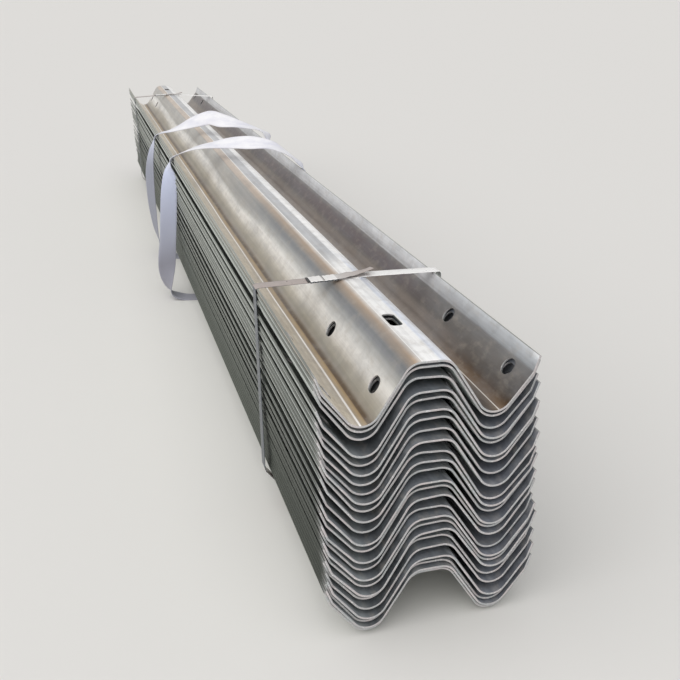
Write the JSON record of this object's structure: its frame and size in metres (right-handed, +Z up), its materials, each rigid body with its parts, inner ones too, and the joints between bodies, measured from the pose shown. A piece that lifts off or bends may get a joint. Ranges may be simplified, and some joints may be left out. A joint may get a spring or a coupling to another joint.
{
  "type": "strapped bundle of highway guardrail sections",
  "caption": "Galvanised two-wave highway guardrail sections nested in a stack, held by two steel straps and ringed by slack white webbing slings.",
  "frame": {"origin": "on the floor, under the middle of the bundle", "axes": "+X across the rails, +Y along them away from the front end, +Z up"},
  "size_m": [0.408, 3.332, 0.4618],
  "materials": {
    "galvanised_steel": "hot-dip galvanised, satin, with soft spangle and brown stripes at the bends",
    "strap_steel": "rolled steel strapping, satin",
    "webbing": "white woven polyester webbing"
  },
  "bodies": {
    "root": {"rail_01": "galvanised_steel", "rail_02": "galvanised_steel", "rail_03": "galvanised_steel", "rail_04": "galvanised_steel", "rail_05": "galvanised_steel", "rail_06": "galvanised_steel", "rail_07": "galvanised_steel", "rail_08": "galvanised_steel", "rail_09": "galvanised_steel", "rail_10": "galvanised_steel", "rail_11": "galvanised_steel", "rail_12": "galvanised_steel", "rail_13": "galvanised_steel", "rail_14": "galvanised_steel", "rail_15": "galvanised_steel", "rail_16": "galvanised_steel", "rail_17": "galvanised_steel", "rail_18": "galvanised_steel", "rail_19": "galvanised_steel", "rail_20": "galvanised_steel", "rail_21": "galvanised_steel", "rail_22": "galvanised_steel", "rail_23": "galvanised_steel", "rail_24": "galvanised_steel", "rail_25": "galvanised_steel", "strap_front": "strap_steel", "strap_front_seals": "strap_steel", "strap_rear": "strap_steel", "strap_rear_seals": "strap_steel", "sling_near": "webbing", "sling_far": "webbing"}
  },
  "joints": []
}
